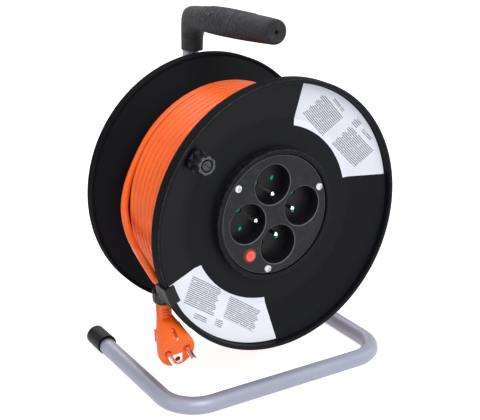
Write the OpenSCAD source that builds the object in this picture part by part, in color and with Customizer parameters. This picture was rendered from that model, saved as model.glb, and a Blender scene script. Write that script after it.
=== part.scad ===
// Extension cord reel: tube stand, dished drum with four socket outlets, wound cable and parked plug.
// Millimetres, +Z up, the floor is Z = 0 and the drum turns about an axis that runs along Y.

/* [Stand] */
// Height of the drum axis above the floor
axis_h = 173; // [150:1:220]
// Outside diameter of the stand tube
tube_d = 17.1; // [14:0.1:22]
// Wall of the stand tube
tube_wall = 1.5; // [1:0.1:3]
// Half the spacing of the two floor legs, to the tube axis
leg_x = 122.5; // [90:0.5:150]
// Centre-line radius of the tube bends
bend_r = 35; // [25:1:60]
// Front bar axis ahead of the front rim
bar_ahead = 15.6; // [10:0.2:30]
// Post axis behind the rear rim
post_behind = 26.4; // [24:0.2:50]
// Top of the post above the drum axis
post_top = 160; // [140:1:165]
// Where the left leg ends, behind the front rim
leg_end = 141; // [100:1:160]
// Length of the foot plug behind the left leg
foot_len = 31; // [15:1:40]
// Diameter of the foot plug
foot_d = 20.8; // [18:0.2:26]

/* [Drum] */
// Outside diameter of both flanges
flange_d = 270; // [220:1:320]
// Overall width over the two rims
drum_w = 150.9; // [120:0.1:200]
// Width of each rim skirt
rim_w = 12.8; // [8:0.1:20]
// Radial thickness of the rim lip
rim_t = 4.5; // [3:0.1:8]
// Depth at which the dish starts inside the lip
dish_start = 8; // [4:0.1:12]
// Depth of the flat part of the dish
dish_depth = 20.5; // [14:0.1:30]
// Radial width of the cone between the lip and the flat part
cone_w = 36.5; // [25:0.5:45]
// Flange plate thickness
plate_t = 2.5; // [2:0.1:4]
// Depth from the outer layer's centre line down to the barrel
wound_depth = 27.5; // [15:0.5:32]
// Wall of the barrel
barrel_wall = 2.8; // [2:0.1:5]
// How far everything on the front face is turned
face_turn = 7; // [-45:1:45]

/* [Axle] */
// Axle diameter
axle_d = 16; // [10:0.5:20]
// Running clearance on radius between axle and bushes
axle_fit = 0.05; // [0.02:0.01:0.1]
// Outside diameter of the bushes
bush_d = 20; // [18:0.5:28]
// Outside diameter of the hub
hub_d = 28; // [24:0.5:40]
// Depth of the front end of the hub
hub_front = 80; // [75:1:100]
// Washer thickness
washer_t = 2; // [1:0.1:3]

/* [Cable] */
// Cable diameter
cable_d = 7.4; // [6:0.1:10]
// Spacing of neighbouring turns
cable_pitch = 7.85; // [7.6:0.05:12]
// Radius of the cable centre in the outer layer
wind_r = 109.5; // [100:0.5:120]
// Depth of the last turn, which is the one that leaves the drum
wind_last = 107.5; // [80:0.5:120]
// Turns in the outer layer besides the last
wind_turns = 9; // [4:1:12]

/* [Sockets] */
// Diameter of the socket wells
well_d = 40; // [38:0.1:42]
// Depth of the socket wells
well_depth = 15; // [12:0.1:18]
// Distance of the wells from the drum axis
well_r = 31.3; // [30:0.1:36]
// Diameter of the socket panel
panel_d = 119.4; // [110:0.1:130]
// Depth of the panel face behind the front rim
panel_y = 14; // [8:0.1:18]
// Panel thickness
panel_t = 3; // [2:0.1:5]
// Diameter of line and neutral openings
pin_hole_d = 5.1; // [4.9:0.1:6]
// Spacing of line and neutral
pin_gap = 19; // [18.5:0.1:19.5]
// Earth pin diameter
earth_d = 4.8; // [4.7:0.1:5]
// Earth pin distance from the centre of its well
earth_off = 10; // [9.5:0.1:10.5]
// Travel of a shutter
shutter_travel = 5.4; // [5.2:0.1:6]

/* [Panel screws and reset button] */
// Panel screw distance from the drum axis
screw_r = 54.7; // [52:0.1:56]
// Panel screw head diameter
screw_head_d = 7.8; // [6:0.1:9]
// Reset button distance from the drum axis
button_r = 46.4; // [44:0.1:50]
// Direction of the reset button before the face is turned
button_at = 225; // [215:1:235]
// Reset button diameter
button_d = 10.5; // [8:0.1:12]
// Diameter of the collar round the button
collar_d = 14.5; // [12:0.1:18]
// Travel of the reset button
button_travel = 2; // [1:0.1:3]

/* [Crank knob] */
// Distance of the knob axis inside the flange edge
knob_inset = 21; // [17:0.5:35]
// Direction of the knob
knob_at = 142.5; // [90:0.5:180]
// Knob diameter at its foot
knob_foot_d = 21; // [18:0.5:26]
// Knob diameter at its end
knob_end_d = 18; // [14:0.5:24]
// Depth of the knob foot behind the front rim
knob_foot_y = 9.4; // [6:0.1:9.6]
// How far the knob stands ahead of the front rim
knob_ahead = 10; // [4:0.5:30]
// Diameter of the knob pin
knob_pin_d = 6; // [4:0.5:8]

/* [Handle] */
// Height of the grip axis above the drum axis, at the front end
grip_z_front = 175; // [160:0.5:200]
// Height of the grip axis above the drum axis, at the rear
grip_z_rear = 169.6; // [160:0.5:200]
// Depth of the front end of the grip
grip_front = 20; // [10:1:60]
// Grip diameter at the front end
grip_d_front = 24; // [20:0.5:34]
// Grip diameter at the rear
grip_d_rear = 27; // [22:0.5:36]
// Diameter of the sleeve over the post
sleeve_d = 22; // [20.5:0.5:30]
// Lower end of the sleeve above the drum axis
sleeve_low = 131.5; // [120:0.5:150]

/* [Plug] */
// Length of the plug pins
plug_pin_l = 19; // [18:0.1:20]
// Diameter of the plug pins
plug_pin_d = 4.8; // [4.7:0.1:5]
// Radius of the plug body
plug_r = 18; // [16:0.5:20]
// Neck diameter of the plug
neck_d = 14.8; // [12:0.1:18]

/* [Hidden] */
$fn = 96;

// clearances
run_gap = 0.35; // between pieces that move past each other
fit = 0.03; // radial room of a pressed or screwed piece
slip = 0.1; // radial room of a sliding piece
eps = 0.01;

// stand
tube_r = tube_d / 2;
floor_z = -axis_h;
bar_y = -bar_ahead;
post_y = drum_w + post_behind;
leg_z = floor_z + tube_r;
foot_flat = 0.5; // how deep the foot plug is cut flat
saddle_wall = 1.64; // material behind the post
bolt_head_h = 3.3;
clamp_rear = post_y + tube_r + saddle_wall;
rear_y = clamp_rear + bolt_head_h;
mid_y = (bar_y - tube_r + rear_y) / 2;

// drum
flange_r = flange_d / 2;
lip_r = flange_r - rim_t;
fold_r = lip_r - cone_w;
barrel_r = wind_r - wound_depth;
flat_back = dish_depth + plate_t;
panel_r = panel_d / 2;
bezel_in = panel_r + 1;
bezel_out = 65.5;
bezel_y = panel_y - 2;
ledge_y = panel_y + panel_t;
ledge_in = 56;
tie_r = barrel_r - 8.5;
tie_d = 4;
tie_boss_r = 5;
tie_boss_l = 17;
tie_at = [52, 142, 232, 322];
rib_t = 2.4;

// axle
axle_r = axle_d / 2;
bush_r = bush_d / 2;
bush_l = 20;
hub_rear = drum_w - 0.5;
bracket_front = hub_rear + run_gap + washer_t;
axle_front = hub_front - run_gap - washer_t - 10;
axle_head_r = 12;
axle_head_l = 4.9;
axle_head_y = post_y - tube_r - 0.3 - axle_head_l;
bracket_x = 22;
bracket_z = 28;
bolt_x = 15;
bolt_z = 20;
bolt_d = 5;
nut_h = 4;
nut_r = 4.6;
nut_y = bracket_front + 3.5;

// cable
cable_r = cable_d / 2;
core_r = wind_r * cos(7.5) - cable_r - 0.3;
under_r = core_r - cable_pitch;
core_front = flat_back + 0.4;
under_rear = drum_w - flat_back - 0.4;
rear_room = under_rear - wind_last - cable_r;
core_rear = wind_last + cable_r + 0.12 * rear_room;
core_foot = wind_last + cable_r + 0.36 * rear_room;
ring_steps = 24;
layer_gap = 0.9; // between the last turn and the rest of the outer layer
layer_rear = wind_last - cable_d - layer_gap;
layer_front = layer_rear - wind_turns * cable_pitch;

// sockets
well_rr = well_d / 2;
well_wall = 1.8;
well_floor = panel_y + well_depth;
floor_t = 2;
floor_back = well_floor + floor_t;
shutter_t = 2;
shutter_y = floor_back + 0.3;
base_y = shutter_y + shutter_t + 0.3;
base_back = 50;
base_r = 50.4;
bus_t = 1;
bus_w = 4;
line_ring_r = 25;
neutral_ring_r = 40;
contact_front = base_y + 2.4;
contact_out = 3.4;
contact_in = 2.45;
wells_at = [90, 0, -90, 180];
screws_at = [15, 135, 255];
screw_d = 3.2;
screw_boss_r = 3.7;
screw_boss_l = 16;
thread = 0.2; // how far a self-tapping thread bites
collar_h = 0.7;
collar_body_r = collar_d / 2 - 0.7;
cutout_r = 8.8;
cutout_back = 46;
cutout_room = 27.8;
button_rod_r = 1.8;
lead_at = 300;
lead_y = base_back + 1.3 + cable_r;
lead_end = 42;
clamp_r = 47;
clamp_hole = 8.5;
clamp_screw_r = 1.28;

// knob
knob_r = flange_r - knob_inset;
knob_boss_r = 9.5;
knob_seat_r = 6.8;
knob_seat_y = cone_y(knob_r - knob_seat_r) + plate_t + 0.6;
knob_front = -knob_ahead;
knob_recess = 3;

// plug: neck reference point and turn of the body, from the front rim centre
neck_dir = 209.2;
neck_y = 23.5;
neck_at = on_drum(flange_r, neck_dir, neck_y);
plug_turn = [12.2, -7.1, -6];
face_y = -29.1; // pin face ahead of the neck axis
pins_z = -39.7; // pin line below the neck reference point
plug_root_r = 2.1; // of a pin inside the body
neck_up = 12;
neck_top_r = 5;
rib_step = 3.4;
clip_from = 198.5;
clip_to = 206.5;
clip_t = 2.2;

// the free stretch: leaves the last turn at the left, swings forward and down to the plug
leave_points = [ // from the end of the last turn
    [-5.6, 0, -10],
    [-10.7, 0, -20.4],
    [-15.4, -0.4, -31.3],
    [-19.1, -1.6, -42.8],
    [-21.8, -4.2, -53.5],
    [-23.3, -8.8, -63.4],
    [-24.3, -15.5, -71.9],
    [-25.3, -23.9, -78.2],
    [-26.3, -33, -82]];
reach_points = [ // from the neck of the plug
    [-5.4, 42.5, 37.3],
    [-7.4, 34, 37.1],
    [-9, 25, 35.7],
    [-9.5, 16.5, 32.6],
    [-8.5, 9, 27.6],
    [-6.1, 2.5, 20.9]];
tail_arc_from = -100;
tail_arc_to = 150;

// ---------- helpers ----------

module placed() translate([0, -mid_y, axis_h]) children();

// turns counter-clockwise as seen from the front
module turned(a) rotate([0, -a, 0]) children();

// stands a Z shape along Y, front end first
module y_rod(y = 0) translate([0, y, 0]) rotate([-90, 0, 0]) children();

// revolves a profile given as [radius, depth]
module y_spin() rotate([-90, 0, 0]) rotate_extrude($fn = 180) children();

// the same between two directions
module y_sector(a, b)
    rotate([-90, 0, 0]) rotate([0, 0, -b]) rotate_extrude(angle = b - a, $fn = 180) children();

module disc_y(r, y0, y1) y_rod(y0) cylinder(r = r, h = y1 - y0);

module at_face(r, a) turned(a) translate([r, 0, 0]) children();

module on_plug() translate(neck_at) rotate(plug_turn) children();

module at_screws() for (a = screws_at) at_face(screw_r, a + face_turn) children();

module at_ties() for (a = tie_at) at_face(tie_r, a) children();

// the two pin openings of a socket
module at_openings() for (s = [-1, 1]) translate([0, 0, s * pin_gap / 2]) children();

// the two pins of the plug
module at_pins() for (s = [-1, 1]) translate([s * pin_gap / 2, 0, pins_z]) children();

module at_clamp_holes() turned(lead_at) for (s = [-1, 1]) translate([clamp_r, 0, s * clamp_hole]) children();

function unit(v) = v / norm(v);
function tangent(p, i) = unit(p[min(i + 1, len(p) - 1)] - p[max(i - 1, 0)]);

// carries a side direction along a path without twist
function carried(p, side, i = 0) =
    i == len(p) ? [] :
    let (t = tangent(p, i), s = unit(side - (side * t) * t))
    concat([s], carried(p, s, i + 1));

function ring(p, i, side, r, n) =
    let (t = tangent(p, i), up = cross(t, side))
    [for (k = [0 : n - 1]) p[i] + r * (cos(360 * k / n) * side + sin(360 * k / n) * up)];

function tube_rings(p, r, n, side) =
    let (s = carried(p, side))
    [for (i = [0 : len(p) - 1]) ring(p, i, s[i], r, n)];

function join(lists) = [for (a = lists) for (b = a) b];

// one closed tube, all faces triangles
module tube_of(rings) {
    n = len(rings[0]);
    m = len(rings);
    sides = [for (i = [0 : m - 2]) for (k = [0 : n - 1])
        let (a = i * n + k, b = i * n + (k + 1) % n) each [[a, b, a + n], [b, b + n, a + n]]];
    caps = [for (k = [1 : n - 2]) each
        [[0, k + 1, k], [(m - 1) * n, (m - 1) * n + k, (m - 1) * n + k + 1]]];
    polyhedron(points = join(rings), faces = [for (f = concat(sides, caps)) [f[0], f[2], f[1]]]);
}

function on_drum(r, a, y) = [r * cos(a), y, r * sin(a)];

// Catmull-Rom between hand-set points
function smooth(p, steps) =
    [for (i = [0 : len(p) - 2]) for (j = [0 : steps - 1])
        let (t = j / steps, a = p[max(i - 1, 0)], b = p[i], c = p[i + 1], d = p[min(i + 2, len(p) - 1)])
        0.5 * (2 * b + (c - a) * t + (2 * a - 5 * b + 4 * c - d) * t * t
            + (3 * b - a - 3 * c + d) * t * t * t)];

// ---------- stand ----------

// one quarter bend lying in XY: starts along -Y at the origin, ends along +X
module bend(r_out, r_in) {
    rotate_extrude(angle = 90, $fn = 128) translate([bend_r, 0]) difference() {
        circle(r = r_out, $fn = 64);
        if (r_in > 0) circle(r = r_in, $fn = 64);
    }
}

module straight(r_out, r_in, l) {
    difference() {
        cylinder(r = r_out, h = l);
        if (r_in > 0) translate([0, 0, -eps]) cylinder(r = r_in, h = l + 2 * eps);
    }
}

module frame_tube() {
    o = tube_r;
    i = tube_r - tube_wall;
    run = 2 * (leg_x - bend_r);
    color("slategray") placed() {
        translate([0, 0, leg_z]) {
            // left leg
            y_rod(bar_y + bend_r) translate([-leg_x, 0, 0]) straight(o, i, leg_end - bar_y - bend_r);
            // front left bend
            translate([-leg_x + bend_r, bar_y + bend_r, 0]) rotate([0, 0, 180]) bend(o, i);
            // front bar
            translate([-run / 2, bar_y, 0]) rotate([0, 90, 0]) straight(o, i, run);
            // front right bend
            translate([leg_x - bend_r, bar_y + bend_r, 0]) rotate([0, 0, 270]) bend(o, i);
            // right leg
            y_rod(bar_y + bend_r) translate([leg_x, 0, 0]) straight(o, i, post_y - bar_y - 2 * bend_r);
            // rear right bend
            translate([leg_x - bend_r, post_y - bend_r, 0]) bend(o, i);
            // rear bar
            translate([bend_r, post_y, 0]) rotate([0, 90, 0]) straight(o, i, leg_x - 2 * bend_r);
            // bend up into the post
            translate([bend_r, post_y, bend_r]) rotate([-90, 0, 0]) rotate([0, 0, 90]) bend(o, i);
        }
        difference() {
            translate([0, post_y, leg_z + bend_r]) straight(o, i, post_top - leg_z - bend_r);
            translate([0, 0, grip_screw_z]) disc_y(grip_screw_r + fit, post_y - tube_r - 1, post_y);
        }
    }
}

module foot_plug() {
    r = foot_d / 2;
    up = r - tube_r - foot_flat;
    color("#202124") placed() difference() {
        translate([-leg_x, 0, leg_z]) {
            y_rod(leg_end + eps) translate([0, -up, 0]) {
                cylinder(r = r, h = foot_len - 3);
                translate([0, 0, foot_len - 3]) cylinder(r1 = r, r2 = r - 2.2, h = 3);
            }
            disc_y(tube_r - tube_wall - fit, leg_end - 18, leg_end + 2);
        }
        // flat that stands on the floor
        translate([-leg_x - foot_d, leg_end - 1, floor_z - 5]) cube([2 * foot_d, foot_len + 2, 5]);
    }
}

// ---------- handle ----------

grip_tilt = atan((grip_z_front - grip_z_rear) / (post_y - 30 - grip_front));
grip_run = 118; // from the front end to the start of the corner
rib_count = 8;
rib_from = 43;
rib_pitch = 6.2;
grip_screw_z = sleeve_low + 9;
grip_screw_r = 1.5;

function grip_d_at(s) = grip_d_front + (grip_d_rear - grip_d_front) * s / (grip_run + 2);

module handle_grip() {
    corner_y = post_y - 5.6;
    corner_z = grip_z_rear - 1.6;
    color("#222326") placed() difference() {
        union() {
            // grip, measured from its front end
            translate([0, grip_front, grip_z_front]) rotate([-grip_tilt, 0, 0]) y_rod() {
                rotate_extrude($fn = 72) polygon([[0, 0], [grip_d_front / 2 - 4, 0],
                    [grip_d_front / 2 - 1.6, 0.7], [grip_d_front / 2 - 0.4, 2.2], [grip_d_front / 2, 4.5],
                    [grip_d_rear / 2, grip_run + 2], [grip_d_rear / 2, grip_run + 14], [0, grip_run + 14]]);
                for (k = [0 : rib_count - 1])
                    translate([0, 0, rib_from + k * rib_pitch])
                        rotate_extrude($fn = 72) translate([grip_d_at(rib_from + k * rib_pitch) / 2 - 0.5, 0])
                            circle(r = 1.5, $fn = 24);
            }
            // corner over the post
            hull() {
                translate([0, grip_front + grip_run, grip_z_front - grip_run * tan(grip_tilt)])
                    sphere(d = grip_d_rear, $fn = 32);
                translate([0, corner_y - 2.4, corner_z - 1]) sphere(r = 12.6, $fn = 32);
                translate([0, corner_y, corner_z - 12]) cylinder(d = sleeve_d + 2, h = 4, $fn = 32);
            }
            // inner corner
            hull() {
                translate([0, corner_y - 1, corner_z - 24]) cylinder(d = sleeve_d, h = 12, $fn = 32);
                translate([0, corner_y - 18, corner_z - 9]) sphere(d = 22, $fn = 32);
            }
            // sleeve
            hull() {
                translate([0, post_y - 2.6, sleeve_low]) cylinder(d = sleeve_d, h = 26, $fn = 32);
                translate([0, post_y - 5, sleeve_low]) cylinder(d = sleeve_d - 1, h = 26, $fn = 32);
            }
        }
        translate([0, post_y, sleeve_low - 1]) cylinder(r = tube_r + fit, h = post_top - sleeve_low + 1.3);
        // screw through sleeve and post
        translate([0, 0, grip_screw_z]) disc_y(grip_screw_r + fit, post_y - 24, post_y);
        // small hole in the end
        translate([0, grip_front - 1, grip_z_front - 0.7]) rotate([-90, 0, 0]) cylinder(d = 4, h = 9);
    }
}

module grip_screw() {
    color("silver") placed() translate([0, 0, grip_screw_z])
        disc_y(grip_screw_r, post_y - tube_r - 3, post_y - tube_r + tube_wall + 2);
}

// ---------- bracket and axle ----------

module bolt_places() for (x = [-bolt_x, bolt_x], z = [-bolt_z, bolt_z]) translate([x, 0, z]) children();

module saddle(y0, y1) {
    difference() {
        translate([-bracket_x, y0, -bracket_z]) cube([2 * bracket_x, y1 - y0, 2 * bracket_z]);
        translate([0, post_y, -bracket_z - 1]) cylinder(r = tube_r + fit, h = 2 * bracket_z + 2);
        bolt_places() disc_y(bolt_d / 2 + fit, y0 - 1, y1 + 1);
        for (x = [-1, 1]) translate([x * (bracket_x + 2), (y0 + y1) / 2, 0]) rotate([0, 0, 45])
            cube([4, 4, 2 * bracket_z + 2], center = true);
    }
}

module axle_bracket() {
    color("#25262a") placed() difference() {
        saddle(bracket_front, post_y - 0.5);
        disc_y(axle_r + fit, bracket_front - 1, post_y);
        disc_y(axle_head_r + slip, axle_head_y, post_y);
        bolt_places() y_rod(bracket_front - 1)
            cylinder(r = nut_r + 0.12, h = nut_y + nut_h - bracket_front + 1, $fn = 6);
    }
}

module bracket_clamp() color("#25262a") placed() saddle(post_y + 0.5, clamp_rear);

module bracket_bolts() {
    color("silver") placed() bolt_places() difference() {
        union() {
            disc_y(bolt_d / 2, nut_y - 1, clamp_rear + eps);
            disc_y(4.25, clamp_rear, rear_y);
        }
        y_rod(rear_y - 2) cylinder(r = 2.3, h = 3, $fn = 6);
    }
}

module bracket_nuts() {
    color("silver") placed() bolt_places() difference() {
        y_rod(nut_y) cylinder(r = nut_r, h = nut_h, $fn = 6);
        disc_y(bolt_d / 2 + fit, nut_y - 1, nut_y + nut_h + 1);
    }
}

module axle() {
    color("silver") placed() {
        disc_y(axle_r, axle_front, axle_head_y + 1);
        disc_y(axle_head_r, axle_head_y, axle_head_y + axle_head_l);
    }
}

module axle_washers() {
    color("silver") placed() for (y = [hub_front - run_gap - washer_t, hub_rear + run_gap]) difference() {
        disc_y(bush_r + 3, y, y + washer_t);
        disc_y(axle_r + fit, y - 1, y + washer_t + 1);
    }
}

module axle_nut() {
    y1 = hub_front - run_gap - washer_t;
    color("silver") placed() difference() {
        y_rod(y1 - 8) cylinder(r = 13.5, h = 8, $fn = 6);
        disc_y(axle_r + fit, y1 - 9, y1 + 1);
    }
}

// ---------- drum shell ----------

// dished flange seen from its open side, depth 0 at the rim edge
module flange_profile(inner) {
    r = flange_r;
    polygon([[lip_r, 1.4], [lip_r + 0.4, 0.5], [lip_r + 1.3, 0], [r - 1.6, 0], [r - 0.5, 0.5], [r, 1.6],
        [r, rim_w], [r - 2.2, rim_w], [lip_r + 1.4, dish_start + plate_t + 0.6],
        [fold_r + 0.6, flat_back], [inner, flat_back], [inner, dish_depth],
        [fold_r, dish_depth], [lip_r - 0.4, dish_start], [lip_r, dish_start - 0.6]]);
}

function cone_y(r) = dish_start + (lip_r - 0.4 - r) / (lip_r - 0.4 - fold_r) * (dish_depth - dish_start);

module front_flange() {
    color("#232428") placed() difference() {
        union() {
            y_spin() flange_profile(bezel_out - 0.5);
            // bezel round the panel, with the ledge behind it
            y_spin() polygon([[bezel_in, bezel_y + 0.7], [bezel_in + 0.8, bezel_y], [bezel_out - 1, bezel_y],
                [bezel_out, bezel_y + 1.2], [bezel_out, flat_back], [bezel_in - 1, flat_back],
                [ledge_in, ledge_y + 2.5], [ledge_in, ledge_y], [bezel_in, ledge_y]]);
            at_screws() disc_y(screw_boss_r, ledge_y + 0.4, ledge_y + screw_boss_l);
            at_ties() disc_y(tie_boss_r, flat_back - 1, flat_back + tie_boss_l);
            at_knob() {
                disc_y(knob_boss_r, knob_foot_y + run_gap, cone_y(knob_r) + 2);
                disc_y(knob_seat_r, cone_y(knob_r), knob_seat_y);
            }
        }
        at_screws() disc_y(screw_d / 2 - thread, ledge_y - 1, ledge_y + screw_boss_l - 2);
        at_ties() disc_y(tie_d / 2, flat_back + 1, flat_back + tie_boss_l + 1);
        at_knob() disc_y(knob_pin_d / 2 + fit, 0, 30);
    }
}

module rear_flange() {
    plate_y = drum_w - flat_back;
    color("#232428") placed() difference() {
        union() {
            translate([0, drum_w, 0]) mirror([0, 1, 0]) y_spin() flange_profile(hub_d / 2 - 1);
            disc_y(hub_d / 2, hub_front, hub_rear);
            // ribs from the hub over the flat part, behind and inside
            for (k = [0 : 5]) turned(k * 60 + 22) {
                linear_extrude(rib_t, center = true) polygon([[bush_r + 1, plate_y],
                    [62, plate_y], [62, plate_y + plate_t + 2],
                    [20, hub_rear - 5], [bush_r + 1, hub_rear - 5]]);
                linear_extrude(rib_t, center = true) polygon([[bush_r + 1, plate_y + 1],
                    [56, plate_y + 1], [56, plate_y - 4], [bush_r + 1, hub_front + 8]]);
            }
        }
        disc_y(bush_r + fit, hub_front - 1, hub_front + bush_l);
        disc_y(bush_r - 1, hub_front - 1, hub_rear + 1);
        disc_y(bush_r + fit, hub_rear - bush_l, hub_rear + 1);
        at_ties() disc_y(tie_d / 2 + slip, plate_y - 1, drum_w);
    }
}

module drum_barrel() {
    y0 = flat_back + 0.02;
    y1 = drum_w - flat_back - 0.02;
    boss_y = flat_back + tie_boss_l + 0.02;
    color("#2a2b2f") placed() difference() {
        union() {
            difference() {
                disc_y(barrel_r, y0, y1);
                disc_y(barrel_r - barrel_wall, y0 - 1, y1 + 1);
            }
            at_ties() {
                disc_y(tie_boss_r, boss_y, y1 - 0.1);
                translate([0, boss_y + 0.5, -1.5]) cube([barrel_r - 1 - tie_r, y1 - boss_y - 1, 3]);
            }
        }
        at_ties() disc_y(tie_d / 2 + slip, boss_y - 1, drum_w);
        // opening for the incoming cable
        turned(lead_at) translate([barrel_r, lead_y, 0])
            cube([4 * barrel_wall, cable_d + 0.6, cable_d + 0.6], center = true);
    }
}

module tie_screws() {
    y1 = drum_w - dish_depth;
    color("silver") placed() at_ties() difference() {
        union() {
            disc_y(tie_d / 2 - fit, flat_back + 4, y1 + 1);
            disc_y(4, y1, y1 + 2.6);
        }
        for (k = [0, 90]) turned(k) translate([-2.4, y1 + 1.4, -0.5]) cube([4.8, 2, 1]);
    }
}

module bearing_bushes() {
    color("ivory") placed() for (y = [hub_front, hub_rear - bush_l]) difference() {
        disc_y(bush_r, y, y + bush_l);
        disc_y(axle_r + axle_fit, y - 1, y + bush_l + 1);
    }
}

// ---------- winding ----------

module cable_core() {
    in = barrel_r + 0.05;
    color("darkorange") placed() y_spin() polygon([[in, core_front], [core_r, core_front],
        [core_r, core_rear], [under_r, core_foot], [under_r, under_rear], [in, under_rear]]);
}

// outer layer: one helix with straight ends
function layer_at(k) =
    on_drum(wind_r, -90 + k * 360 / ring_steps, layer_front + cable_pitch * k / ring_steps);

layer_n = wind_turns * ring_steps;
layer_path = concat(
    [layer_at(0) + cable_d * unit(layer_at(0) - layer_at(1))],
    [for (k = [0 : layer_n]) layer_at(k)],
    [layer_at(layer_n) + cable_d * unit(layer_at(layer_n) - layer_at(layer_n - 1))]);
layer_rings = tube_rings(layer_path, cable_r, 6, [0, 1, 0]);

layer_self_gap = min([for (i = [0 : len(layer_rings) - 1 - ring_steps], j = [-1 : 1])
    let (k = min(i + ring_steps + j, len(layer_rings) - 1))
    each [for (a = layer_rings[i], b = layer_rings[k]) norm(a - b)]]);

module cable_outer_layer() {
    echo(outer_layer_least_gap = layer_self_gap);
    color("#f2641c") placed() tube_of(layer_rings);
}

// last turn, lying still on the drum, and the free stretch down to the plug
function plug_point(v) =
    let (c = plug_turn, a = rot_x(v, c[0]), b = rot_y(a, c[1])) rot_z(b, c[2]) + neck_at;
function rot_x(v, a) = [v[0], v[1] * cos(a) - v[2] * sin(a), v[1] * sin(a) + v[2] * cos(a)];
function rot_y(v, a) = [v[0] * cos(a) + v[2] * sin(a), v[1], -v[0] * sin(a) + v[2] * cos(a)];
function rot_z(v, a) = [v[0] * cos(a) - v[1] * sin(a), v[0] * sin(a) + v[1] * cos(a), v[2]];

tail_path = concat(
    [for (a = [tail_arc_from : 10 : tail_arc_to]) on_drum(wind_r, a, wind_last)],
    [for (v = leave_points) on_drum(wind_r, tail_arc_to, wind_last) + v],
    [for (v = reach_points) neck_at + v],
    [plug_point([0, 0, neck_up + cable_d]), plug_point([0, 0, neck_up])]);
tail_rings = tube_rings(tail_path, cable_r, 10, [0, 1, 0]);

module cable_tail() color("#f2641c") placed() tube_of(tail_rings);

// ---------- labels ----------

label_out = lip_r - 1;
label_in = fold_r - 6.4;
label_half_out = 34.7;
label_half_in = 30.1;
label_t = 0.3;

module label_at(a) {
    intersection() {
        y_spin() polygon([[label_in, dish_depth - label_t], [fold_r - 0.1, dish_depth - label_t],
            [label_out, cone_y(label_out) - label_t], [label_out, cone_y(label_out) - 0.01],
            [fold_r, dish_depth - 0.01], [label_in, dish_depth - 0.01]]);
        turned(a) rotate([90, 0, 0]) translate([0, 0, -dish_depth - 5])
            linear_extrude(dish_depth + 5) polygon([
            [label_in * cos(label_half_in) - 20, -label_in * sin(label_half_in) + 2.4],
            [label_in * cos(label_half_in), -label_in * sin(label_half_in)],
            [label_out * cos(label_half_out), -label_out * sin(label_half_out)],
            [label_out + 9, -label_out / 3], [label_out + 9, label_out / 3],
            [label_out * cos(label_half_out), label_out * sin(label_half_out)],
            [label_in * cos(label_half_in), label_in * sin(label_half_in)],
            [label_in * cos(label_half_in) - 20, label_in * sin(label_half_in) - 2.4]]);
    }
}

module label_upper() color("#e4e7f2") placed() label_at(44.9);
module label_lower() color("#e4e7f2") placed() label_at(-124.4);

// ---------- socket panel ----------

// socket k: x is outward from the drum axis, z is along the line of its two openings
module at_well(k) at_face(well_r, wells_at[k] + face_turn) children();

module socket_panel() {
    color("#2e2f34") placed() difference() {
        union() {
            y_spin() polygon([[0, panel_y], [panel_r - 0.5, panel_y], [panel_r, panel_y + 0.5],
                [panel_r, ledge_y], [0, ledge_y]]);
            for (k = [0 : 3]) at_well(k) disc_y(well_rr + well_wall, panel_y + 1, floor_back);
            disc_y(5, panel_y + 1, floor_back);
        }
        for (k = [0 : 3]) at_well(k) {
            disc_y(well_rr, panel_y - 1, well_floor);
            y_rod(panel_y - 0.02) cylinder(r1 = well_rr + 0.7, r2 = well_rr, h = 0.7);
            at_openings() disc_y(pin_hole_d / 2, well_floor - 1, floor_back + 1);
            translate([-earth_off, 0, 0]) disc_y(earth_d / 2 + fit, well_floor - 1, floor_back + 1);
        }
        at_screws() disc_y(screw_d / 2 + slip, panel_y - 1, ledge_y + 1);
        at_button() disc_y(collar_body_r + fit, panel_y - 1, ledge_y + 1);
        disc_y(1.9, panel_y + 4, floor_back + 1);
    }
}

module cross_slot(size, deep, y) {
    for (k = [0, 90]) turned(k + 20) translate([-size / 2, y, -size / 8]) cube([size, deep, size / 4]);
}

module panel_screws() {
    color("white") placed() at_screws() difference() {
        union() {
            disc_y(screw_d / 2 - thread - fit, panel_y - 0.5, ledge_y + screw_boss_l - 4);
            y_rod(panel_y - 1.9) rotate_extrude($fn = 48) polygon([[0, 0], [screw_head_d / 2 - 1.6, 0],
                [screw_head_d / 2 - 0.5, 0.5], [screw_head_d / 2, 1.3], [screw_head_d / 2, 1.89], [0, 1.89]]);
        }
        cross_slot(4.4, 1.3, panel_y - 1.9 - 0.1);
    }
}

module contact_base() {
    color("#3a3b40") placed() difference() {
        union() {
            disc_y(base_r, base_y, base_back);
            // rest under the incoming cable
            turned(lead_at) translate([clamp_r - 3.4, base_back - 1, -4]) cube([6.4, 2.2, 8]);
        }
        for (k = [0 : 3]) at_well(k) at_openings() disc_y(contact_out + slip, base_y - 1, base_back + 1);
        disc_y(26, base_y - 1, base_y + 1.7);
        disc_y(2.1, base_y - 1, base_back + 1);
        at_button() disc_y(cutout_r + 0.3, base_y - 1, base_back + 1);
        at_clamp_holes() disc_y(clamp_screw_r + 0.02, base_y + 1, base_back + 2);
        // room round the screw bosses of the flange
        at_screws() disc_y(screw_boss_r + 0.4, base_y - 1, base_back + 1);
    }
}

module base_screw() {
    color("silver") placed() difference() {
        union() {
            disc_y(1.85, panel_y + 8, base_back + 0.5);
            disc_y(4, base_back + 0.01, base_back + 2.8);
        }
        cross_slot(4.4, 1.5, base_back + 1.6);
    }
}

module earth_pins() {
    color("silver") placed() for (k = [0 : 3]) at_well(k) translate([-earth_off, 0, 0]) {
        y_rod(panel_y + 1) rotate_extrude($fn = 48) polygon([[0, 0], [earth_d / 2 - 1.2, 0],
            [earth_d / 2 - 0.3, 0.9], [earth_d / 2, 2.4], [earth_d / 2, base_y - panel_y - 0.75],
            [0, base_y - panel_y - 0.75]]);
    }
}

module earth_plate() {
    color("peru") placed() difference() {
        disc_y(25.6, base_y + 0.3, base_y + 1.5);
        disc_y(2, base_y - 1, base_y + 3);
    }
}

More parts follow.
